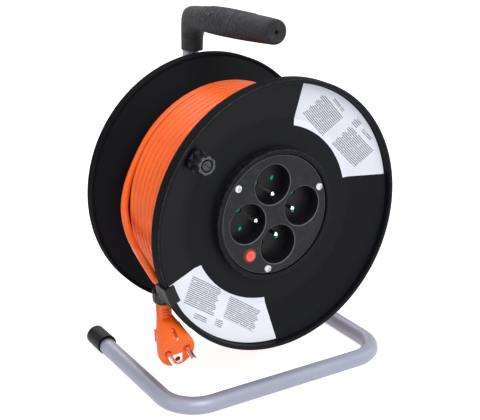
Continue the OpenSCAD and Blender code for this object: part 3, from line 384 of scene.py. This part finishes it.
# the mouth of the sleeve, drawn in to the post and 8 mm up inside it
post_depth, post_radius = 177.3, 8.6
sleeve_depth, sleeve_half_wide, sleeve_half_deep = 174.3, 10.9, 12.4
collar = [Vector((p.x * post_radius / sleeve_half_wide,
                  post_depth + (p.y - sleeve_depth) * post_radius / sleeve_half_deep, p.z)) for p in rings[0]]
rings = [[p + Vector((0, 0, 8)) for p in collar], collar] + rings


def skinned(name, rings, material, body):
    """A closed skin over rings of points in millimetres."""
    form = bmesh.new()
    loops = [[form.verts.new(reel_point(*p)) for p in ring] for ring in rings]
    for low, high in zip(loops, loops[1:]):
        for k in range(len(low)):
            form.faces.new((low[k], low[k - 1], high[k - 1], high[k]))
    form.faces.new(loops[0])
    form.faces.new(loops[-1][::-1])
    bmesh.ops.recalc_face_normals(form, faces=form.faces)
    mesh = bpy.data.meshes.new(name)
    form.to_mesh(mesh)
    form.free()
    mesh.polygons.foreach_set("use_smooth", [True] * len(mesh.polygons))
    mesh.materials.append(material)
    piece = bpy.data.objects.new(name, mesh)
    bpy.context.collection.objects.link(piece)
    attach(piece, body)
    return piece


grip_rubber = Finish("grip_rubber")
_, depth, up = reel_coordinates(grip_rubber)
ridged = (depth > first_ridge - 3) * (depth < first_ridge + (ridge_count - 0.5) * ridge_pitch) * (up > 158)
from_groove = abs((depth - first_ridge) / ridge_pitch % 1.0 - 0.5)
place = grip_rubber.place()
hide = grip_rubber.node("TexVoronoi", {"feature": "DISTANCE_TO_EDGE"}, {"Vector": place, "Scale": 720.0})
grains = grip_rubber.noise(place, 1900.0, 3.0, 0.6)
drift = grip_rubber.noise(place, 30.0, 4.0)
worn = grip_rubber.ramp(grip_rubber.noise(place, 240.0, 6.0, 0.7), 0.5, 0.68)
tint = grip_rubber.blend(drift, (0.0065, 0.0069, 0.0100), (0.015, 0.0155, 0.021))
tint = grip_rubber.blend(worn * 0.6 + grains * 0.2, tint, (0.060, 0.061, 0.071))
# the flanks of the ridge crests are painted paler where the noise allows: partly rub wear, partly painted highlight
crest_highlight_and_wear = grip_rubber.ramp(from_groove, 0.06, 0.13) * (1 - grip_rubber.ramp(from_groove, 0.17, 0.26))
rubbed = crest_highlight_and_wear * ridged * grip_rubber.ramp(worn + drift, 0.3, 0.8)
tint = grip_rubber.blend(rubbed * 0.7, tint, (0.15, 0.152, 0.17))
# painted shade: the bottoms of the grooves between the ridges are painted near black
painted_groove_shade = (1 - grip_rubber.ramp(from_groove, 0.02, 0.10)) * ridged
tint = grip_rubber.blend(painted_groove_shade * 0.7, tint, (0.004, 0.004, 0.006))
bump = grip_rubber.node("Bump", {}, {"Strength": 0.7, "Distance": 0.0006,
                                     "Height": grip_rubber.ramp(hide, 0.0, 0.25) + grains * 0.7})
grip_rubber.surface(Base_Color=tint, Roughness=0.5 + grains * 0.15 - worn * 0.06, IOR=1.32, Normal=bump)
grip = skinned("grip", rings, grip_rubber.material, "stand")
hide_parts("handle_grip")


def plated(name, colour, rough, drawn=(60.0, 60.0, 900.0), wear=0.5, patch=(0.25, 0.22, 0.2)):
    """Bare or plated metal: fine drawn streaks, cloudy plating and a little tarnish."""
    face = Finish(name)
    place = face.place()
    lines = face.noise(face.node("VectorMath", {"operation": "MULTIPLY"}, {0: place, 1: drawn}), 1.0, 3.0)
    cloud = face.noise(place, 300.0, 4.0)
    stain = face.ramp(cloud, 0.55, 0.75)
    tint = face.blend(stain * wear, colour, patch)
    bump = face.node("Bump", {}, {"Strength": 0.2, "Distance": 0.0001, "Height": lines})
    return face.surface(Base_Color=tint, Metallic=1.0, Roughness=rough + lines * 0.12 + stain * 0.15, Normal=bump)


zinc = plated("zinc", (0.66, 0.66, 0.68), 0.28)
finish_on(zinc, "grip_screw")

# ---------------------------------------------------------------- axle bracket
# Two ribbed plastic saddles clamp the post between them with four zinc-plated screws. The front
# one holds the head of the axle, so that the drum hangs ahead of the post.

bracket_black = moulded("bracket_black", (0.013, 0.0135, 0.016), 0.5, grain=0.45)
finish_on(bracket_black, "axle_bracket", "bracket_clamp")
finish_on(zinc, "bracket_bolts", "bracket_nuts")

# ---------------------------------------------------------------- axle
# A headed steel pin turned bright, on which the drum runs between two plain steel washers. A
# zinc-plated nut screwed on its front end keeps the drum on.

finish_on(plated("axle_steel", (0.50, 0.505, 0.52), 0.28, drawn=(900.0, 40.0, 900.0)), "axle")
finish_on(plated("washer_steel", (0.58, 0.585, 0.6), 0.33, drawn=(500.0, 500.0, 500.0)), "axle_washers")
finish_on(zinc, "axle_nut")

# ---------------------------------------------------------------- drum shell
# Two dished flanges moulded in black plastic with a finely eroded surface, screwed together from
# behind through the barrel. White plastic bushes are pressed into the hub of the rear one.

bezel_radius = 65.5


def flange_plastic(name, colour, rough, shine):
    """Black plastic with paler lines along the rim and bezel edges, partly rub wear and partly painted highlight, the
    outer side of the rim painted darker as shade, and faint rings left by the tool.
    """
    shell = Finish(name)
    across, depth, up = reel_coordinates(shell)
    radius = (across * across + up * up) ** 0.5
    place = shell.place()
    grains = shell.noise(place, 2400.0)
    drift = shell.noise(place, 14.0, 4.0, 0.6)
    turned = shell.node("TexNoise", {"noise_dimensions": "1D"}, {"W": radius, "Scale": 1.6, "Detail": 3.0})
    scuffed = shell.ramp(shell.noise(place, 120.0, 7.0, 0.72) * 0.7 + drift * 0.3, 0.55, 0.68)
    # painted highlight, partly rub wear: thin paler lines along the front edge of the rim and round the bezel
    rim_edge_highlight_and_wear = shell.ramp(radius, rim_radius - 1.6, rim_radius - 0.5) * (1 - shell.ramp(abs(depth - 0.8), 0.4, 1.2))
    bezel_edge_highlight_and_wear = 1 - shell.ramp(abs(radius - bezel_radius + 0.6), 0.3, 1.1)
    rubbed = shell.ramp(shell.noise(place, 260.0, 5.0, 0.6), 0.35, 0.65)
    tint = shell.blend(drift, tuple(c * 0.75 for c in colour), tuple(c * 1.2 for c in colour))
    tint = shell.blend(scuffed * 0.3 + turned * 0.12, tint, tuple(c * 1.9 for c in colour))
    tint = shell.blend((rim_edge_highlight_and_wear * 0.7 + bezel_edge_highlight_and_wear * 0.5) * rubbed, tint, (0.05, 0.051, 0.058))
    # painted shade: the outer side of the rim is painted darker than the rest of the flange
    painted_rim_side_shade = shell.ramp(radius, rim_radius - 0.5, rim_radius - 0.2)
    tint = shell.blend(painted_rim_side_shade * 0.8, tint, (0.0012, 0.0013, 0.0022))
    bump = shell.node("Bump", {}, {"Strength": 0.22, "Distance": 0.0003, "Height": grains + turned * 0.35})
    return shell.surface(Base_Color=tint, IOR=shine, Normal=bump,
                         Roughness=rough + grains * 0.09 - scuffed * 0.06 + painted_rim_side_shade * 0.4)


finish_on(flange_plastic("front_black", (0.0046, 0.0049, 0.0074), 0.42, 1.2), "front_flange")
# painted shade: the rear flange gets a darker copy of the same black plastic as the front one
finish_on(flange_plastic("rear_black_painted_shade", (0.0040, 0.0041, 0.0058), 0.45, 1.17), "rear_flange")
finish_on(moulded("barrel_black", (0.012, 0.012, 0.014), 0.5), "drum_barrel")
finish_on(zinc, "tie_screws")
finish_on(moulded("bush_white", (0.72, 0.70, 0.64), 0.32, 1.45, grain=0.12), "bearing_bushes")

# ---------------------------------------------------------------- labels
# Two white film stickers pressed into the dish, one above on the right and one below on the left.
# They carry nothing but rows of grey rules, broken up like small print, and never a word.

rule_pitch = 1.75


def ruled_film(name, direction, blocks):
    """White film with rows of broken grey rules square to the middle of the label.

    A block of rules is given by its left and right, low and high, and how ragged its right side is.
    """
    film = Finish(name)
    across, _, up = reel_coordinates(film)
    cos, sin = math.cos(math.radians(direction)), math.sin(math.radians(direction))
    along = across * cos + up * sin
    aside = up * cos - across * sin
    row = along / rule_pitch
    within = row % 1.0
    row_number = row - within
    chance = film.node("TexWhiteNoise", {"noise_dimensions": "1D"}, {"W": row_number})
    gaps = film.node("TexNoise", {"noise_dimensions": "2D"}, {
        "Vector": film.node("CombineXYZ", {}, {"X": aside * 0.9, "Y": row_number * 7.3}), "Scale": 1.0,
        "Detail": 1.0})
    rules = (1 - film.ramp(abs(within - 0.5), 0.15, 0.33)) * film.ramp(gaps, 0.27, 0.36)
    print_mask = None
    for left, right, low, high, ragged in blocks:
        block = (aside > left) * (aside < right - chance * ragged) * (along > low) * (along < high)
        print_mask = block if print_mask is None else print_mask + block
    ink = film.ramp(rules * print_mask, 0.0, 1.0)
    place = film.place()
    cloud = film.noise(place, 42.0, 3.0)
    specks = film.noise(place, 900.0, 2.0)
    creases = film.noise(place, 95.0, 2.0)
    tint = film.blend(cloud, (0.74, 0.765, 0.865), (0.84, 0.86, 0.93))
    tint = film.blend(ink * 0.92 + film.ramp(specks, 0.62, 0.8) * 0.12, tint, (0.075, 0.08, 0.1))
    bump = film.node("Bump", {}, {"Strength": 0.12, "Distance": 0.0006, "Height": creases})
    return film.surface(Base_Color=tint, Roughness=0.3 + cloud * 0.12 + ink * 0.1, IOR=1.45, Normal=bump)


finish_on(ruled_film("label_film_upper", 44.9, (
    (8, 47, 89, 115, 4), (-46, -5, 91, 115, 4), (14, 34, 118, 121, 2), (-12, -2, 117, 125, 3),
    (-34, -18, 118.5, 123, 2))), "label_upper")
finish_on(ruled_film("label_film_lower", -124.4, (
    (-48, -6, 88, 114, 4), (6, 47, 89, 111, 4), (-30, -12, 117, 122, 3), (-2, 8, 114, 121, 2))), "label_lower")

# ---------------------------------------------------------------- socket panel
# A round panel in black plastic, smoother than the flange, with four deep wells for the plugs.
# Three bright pan-head screws hold it on the ledge of the front flange.

panel_rim, face_depth, face_turn = 59.7, 14.6, 7
well_distance, well_radius, painted_shade_depth = 31.3, 20.0, 24.0

panel_black = Finish("panel_black")
across, depth, up = reel_coordinates(panel_black)
place = panel_black.place()
flat_place = panel_black.node("CombineXYZ", {}, {"X": across, "Y": 0.0, "Z": up})
radius = (across * across + up * up) ** 0.5
# painted highlight: thin paler rings along the panel rim and the mouths of the four wells
painted_edge_highlight = 1 - panel_black.ramp(abs(radius - panel_rim + 0.3), 0.15, 0.6)
for quarter in range(4):
    middle = on_drum(well_distance, 90 * quarter + face_turn, 0)
    away = panel_black.node("VectorMath", {"operation": "DISTANCE"}, {0: flat_place, 1: tuple(middle)}, "Value")
    painted_edge_highlight = painted_edge_highlight + (1 - panel_black.ramp(abs(away - well_radius - 0.35), 0.2, 0.7))
grains = panel_black.noise(place, 3000.0)
drift = panel_black.noise(place, 40.0, 4.0, 0.6)
rubbed = panel_black.ramp(panel_black.noise(place, 150.0, 7.0, 0.7), 0.5, 0.7)
scratch = panel_black.noise(panel_black.node("VectorMath", {"operation": "MULTIPLY"}, {
    0: place, 1: (1500.0, 60.0, 90.0)}), 1.0, 4.0)
on_face = depth < face_depth
tint = panel_black.blend(drift, (0.0060, 0.0063, 0.0085), (0.0115, 0.0118, 0.0155))
tint = panel_black.blend(rubbed * 0.4 * on_face, tint, (0.045, 0.046, 0.053))
tint = panel_black.blend(painted_edge_highlight * on_face * 0.65, tint, (0.17, 0.174, 0.19))
# painted shade: the walls of the wells are painted darker the deeper they go
tint = panel_black.blend(panel_black.ramp(depth, face_depth, painted_shade_depth) * 0.6, tint, (0.006, 0.006, 0.007))
bump = panel_black.node("Bump", {}, {"Strength": 0.14, "Distance": 0.0002, "Height": grains + scratch * 0.5})
panel_black.surface(Base_Color=tint, Roughness=0.34 + grains * 0.08 + rubbed * 0.08, IOR=1.28, Normal=bump)
finish_on(panel_black.material, "socket_panel")
finish_on(plated("screw_bright", (0.62, 0.62, 0.64), 0.3, wear=0.4), "panel_screws")

# ---------------------------------------------------------------- contacts
# Behind the panel a grey base carries the live parts: four nickel-plated earth pins riveted in a
# copper plate, and two flat brass rings whose sleeves take the plug pins. One screw holds it.

finish_on(moulded("base_grey", (0.045, 0.046, 0.05), 0.5), "contact_base")
pin_nickel = plated("pin_nickel", (0.82, 0.81, 0.79), 0.15, wear=0.35)
finish_on(pin_nickel, "earth_pins")
finish_on(plated("copper", (0.80, 0.46, 0.32), 0.28), "earth_plate")
finish_on(plated("brass", (0.80, 0.58, 0.25), 0.26), "line_contacts", "neutral_contacts")
finish_on(zinc, "base_screw")

# ---------------------------------------------------------------- shutters
# A thin green plate slides behind each socket and closes its two openings until both pins of a
# plug push it aside. Its smooth face shows through the openings.

finish_on(moulded("shutter_green", (0.03, 0.62, 0.24), 0.3, 1.46, grain=0.1, rub=0.5),
          "shutter_1", "shutter_2", "shutter_3", "shutter_4")

# ---------------------------------------------------------------- reset button
# Translucent-looking red button in a darker red collar that is snapped into the panel. Behind it
# a black thermal cut-out holds a steel spring that pushes the button out.

finish_on(moulded("collar_red", (0.17, 0.012, 0.011), 0.3, 1.46, grain=0.15), "button_collar")
finish_on(moulded("button_red", (1.0, 0.11, 0.06), 0.28, 1.46, grain=0.12), "reset_button")
finish_on(plated("spring_steel", (0.55, 0.55, 0.57), 0.25), "reset_spring")
finish_on(moulded("cutout_black", (0.014, 0.014, 0.017), 0.4), "thermal_cutout")

# ---------------------------------------------------------------- wiring
# The inner end of the cable comes in through the barrel, is held by a plastic clamp and splits in
# three cores of 2.6 mm: brown by way of the cut-out, blue, and green with yellow stripes.

lead_direction, lead_depth, lead_stop, barrel_radius = 300, 55.0, 42.0, 82.0
core_thick, core_spread = 2.6, 1.75
lead = flex("lead_sheath", [on_drum(r, lead_direction, lead_depth) for r in (
    lead_stop, lead_stop + 0.3, 50, 60, 70, barrel_radius - 0.4, barrel_radius - 0.05)],
    cable_thick, cable_orange, "drum", 8)
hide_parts("lead_in")
finish_on(moulded("clamp_black", (0.014, 0.014, 0.016), 0.45), "cable_clamp")
finish_on(zinc, "clamp_screws")

lead_tip = on_drum(lead_stop, lead_direction, lead_depth)
inward, sideways, rearward = -on_drum(1, lead_direction, 0), on_drum(1, lead_direction + 90, 0), Vector((0, 1, 0))
cutout = on_drum(46.4, 225 + face_turn, 50.3)
blade = on_drum(4, 225 + face_turn + 90, 0)
bar_depth = 51.3
line_bar, neutral_bar = on_drum(25, 200, bar_depth), on_drum(40, -38, bar_depth)
earth_screw = Vector((0, 53.1, 0))


def core(degrees):
    """Where a core leaves the sheath."""
    turn = math.radians(degrees)
    return lead_tip + 0.9 * inward + core_spread * (math.cos(turn) * rearward + math.sin(turn) * sideways)


wire_brown = pvc("wire_brown", (0.15, 0.05, 0.018), 0.34, 0.2)
wire_blue = pvc("wire_blue", (0.015, 0.09, 0.45), 0.34, 0.2)
wire_striped = Finish("wire_striped")
place = wire_striped.place()
stripes = wire_striped.node("TexWave", {"bands_direction": "DIAGONAL"}, {"Vector": place, "Scale": 120.0,
                                                                        "Distortion": 0.6})
cloud = wire_striped.noise(place, 300.0, 3.0)
tint = wire_striped.blend(wire_striped.ramp(stripes, 0.46, 0.54), (0.03, 0.33, 0.06), (0.85, 0.66, 0.03))
bump = wire_striped.node("Bump", {}, {"Strength": 0.15, "Distance": 0.0001, "Height": cloud})
wire_striped.surface(Base_Color=tint, Roughness=0.32 + cloud * 0.12, IOR=1.46, Normal=bump)

for name, points, material, slot in (
        ("wire_line", (core(0), core(0) + 3 * inward, Vector((2, 59.5, -31)), Vector((-14, 60, -34)),
                       cutout + blade + Vector((1, 8, 0.5)), cutout + blade + 3 * rearward, cutout + blade),
         wire_brown, "brown_wire"),
        ("wire_link", (cutout - blade, cutout - blade + 3 * rearward, cutout - blade + Vector((1.5, 7, 4)),
                       Vector((-28, 57, -18)), line_bar + Vector((-1, 6, -2)), line_bar + 3 * rearward, line_bar),
         wire_brown, "brown_wire"),
        ("wire_neutral", (core(120), core(120) + 3 * inward, Vector((23.5, 57.5, -29.5)),
                          neutral_bar + Vector((-2.5, 5.5, -1.5)), neutral_bar + 3 * rearward, neutral_bar),
         wire_blue, "blue_wire"),
        ("wire_earth", (core(240), core(240) + 3 * inward, Vector((9, 56.5, -19)),
                        earth_screw + Vector((1.5, 5.5, -4)), earth_screw + 3 * rearward, earth_screw),
         wire_striped.material, "earth_wire")):
    wire = flex(name + "_lead", eased(list(points), 8), core_thick, material, "drum", 3)
    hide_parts(name)

# ---------------------------------------------------------------- crank knob
# A fluted black knob that turns freely on a slotted pin, screwed through the dish of the front
# flange with a nut behind it. Its flutes and end are painted a little paler: partly rubbed by the hand, partly
# painted highlight.


def softened(name, node, voxel, passes, material, body):
    """A finer copy of a frame piece with its moulded edges rounded off."""
    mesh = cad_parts[node].data.copy()
    mesh.name = name
    mesh.materials.clear()
    mesh.materials.append(material)
    piece = bpy.data.objects.new(name, mesh)
    bpy.context.collection.objects.link(piece)
    remesh = piece.modifiers.new("remesh", "REMESH")
    remesh.mode, remesh.voxel_size = "VOXEL", voxel / 1000
    smooth = piece.modifiers.new("smooth", "SMOOTH")
    smooth.factor, smooth.iterations = 0.5, passes
    made = bpy.data.meshes.new_from_object(piece.evaluated_get(bpy.context.evaluated_depsgraph_get()))
    piece.modifiers.clear()
    piece.data = made
    made.polygons.foreach_set("use_smooth", [True] * len(made.polygons))
    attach(piece, body)
    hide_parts(node)
    return piece


knob_middle = on_drum(114.0, 142.5, 0)
knob_black = Finish("knob_black")
across, depth, up = reel_coordinates(knob_black)
place = knob_black.place()
off_axis = ((across - knob_middle.x) ** 2 + (up - knob_middle.z) ** 2) ** 0.5
grains = knob_black.noise(place, 2600.0)
drift = knob_black.noise(place, 90.0, 4.0)
scuffs = knob_black.noise(place, 480.0, 4.0, 0.6)
# the outer edges of the flutes and the end face are painted paler: partly rub wear, partly painted highlight
handled = knob_black.ramp(off_axis, 6.6, 9.0) * (1 - knob_black.ramp(depth, -6.0, 4.0))
end_face_sheen_and_wear = 1 - knob_black.ramp(depth, -9.4, -8.6)
tint = knob_black.blend(drift, (0.009, 0.0094, 0.0115), (0.016, 0.0165, 0.020))
rubbed = (handled * 0.3 + end_face_sheen_and_wear * 0.65) * knob_black.ramp(scuffs, 0.35, 0.6)
tint = knob_black.blend(rubbed, tint, (0.11, 0.112, 0.124))
bump = knob_black.node("Bump", {}, {"Strength": 0.25, "Distance": 0.0002, "Height": grains})
knob_black.surface(Base_Color=tint, Roughness=0.34 + grains * 0.1, IOR=1.42, Normal=bump)
knob = softened("knob", "crank_knob", 0.32, 4, knob_black.material, "knob")
finish_on(knob_black.material, "knob_pin")
finish_on(zinc, "knob_nut")

# ---------------------------------------------------------------- plug
# Soft orange PVC moulded round the cable end and the contacts. Slots in the neck let it flex, the
# sides are ribbed for the fingers, and a spring strip lies in a slot across the upper edge.


def plug_coordinates(finish):
    """Millimetres across, from the neck back and up, in the plug's own directions."""
    away = finish.node("VectorMath", {"operation": "SUBTRACT"}, {0: finish.place(), 1: tuple(reel_point(*neck))})
    return [finish.node("VectorMath", {"operation": "DOT_PRODUCT"}, {0: away, 1: tuple(axis)}, "Value") * 1000
            for axis in plug_turn.col]


def spring_strip(sheath):
    """The strip at the bottom of the slot and its round end at the edge of the pin face."""
    across, back, up = plug_coordinates(sheath)
    strip = (abs(across) < 0.6) * (up < -22.6) * (up > -25) * (back > -28)
    end = ((across - 0.6) ** 2 + (up + 25.8) ** 2) ** 0.5
    return strip + (1 - sheath.ramp(end, 0.7, 1.5)) * 0.8 * (back < -26)


plug_orange = pvc("plug_orange", (1.0, 0.15, 0.013), 0.34, 0.12, spring_strip)
plug = softened("plug", "plug_body", 0.42, 5, plug_orange, "stand")
plug_nickel = plated("plug_nickel", (0.80, 0.79, 0.77), 0.16, wear=0.4)
finish_on(plug_nickel, "plug_pins", "plug_earth_contact")

# ---------------------------------------------------------------- plug holder
# A black clip moulded in one piece: a ridged cuff round the neck of the plug and a hook that is
# pushed over the rim of the front flange, where the drum turns through it.

cuff_radius, cuff_ridge_step = 11.6, 24  # millimetres, degrees

clip_black = Finish("clip_black")
across, back, _ = plug_coordinates(clip_black)
turn = clip_black.node("Math", {"operation": "ARCTAN2"}, {0: back, 1: across}) * (180 / math.pi)
ridge = abs((turn + 210) / cuff_ridge_step % 1.0 - 0.5)
on_cuff = (across * across + back * back) ** 0.5 < cuff_radius
# painted highlight: the crests of the cuff's ridges are painted paler; the same mask also raises them in the bump
ridge_crest_highlight = clip_black.ramp(ridge, 0.34, 0.46) * on_cuff
grains = clip_black.noise(clip_black.place(), 2600.0)
rubbed = clip_black.ramp(clip_black.noise(clip_black.place(), 200.0, 6.0, 0.7), 0.45, 0.7)
tint = clip_black.blend(rubbed * 0.3, (0.0045, 0.0047, 0.0062), (0.02, 0.0205, 0.025))
tint = clip_black.blend(ridge_crest_highlight * 0.5, tint, (0.06, 0.062, 0.07))
bump = clip_black.node("Bump", {}, {"Strength": 0.6, "Distance": 0.0006, "Height": ridge_crest_highlight + grains * 0.2})
clip_black.surface(Base_Color=tint, Roughness=0.34 + grains * 0.1, IOR=1.3, Normal=bump)
clip = softened("clip", "plug_clip", 0.3, 3, clip_black.material, "stand")
tuple(reel_point(*route[0]))
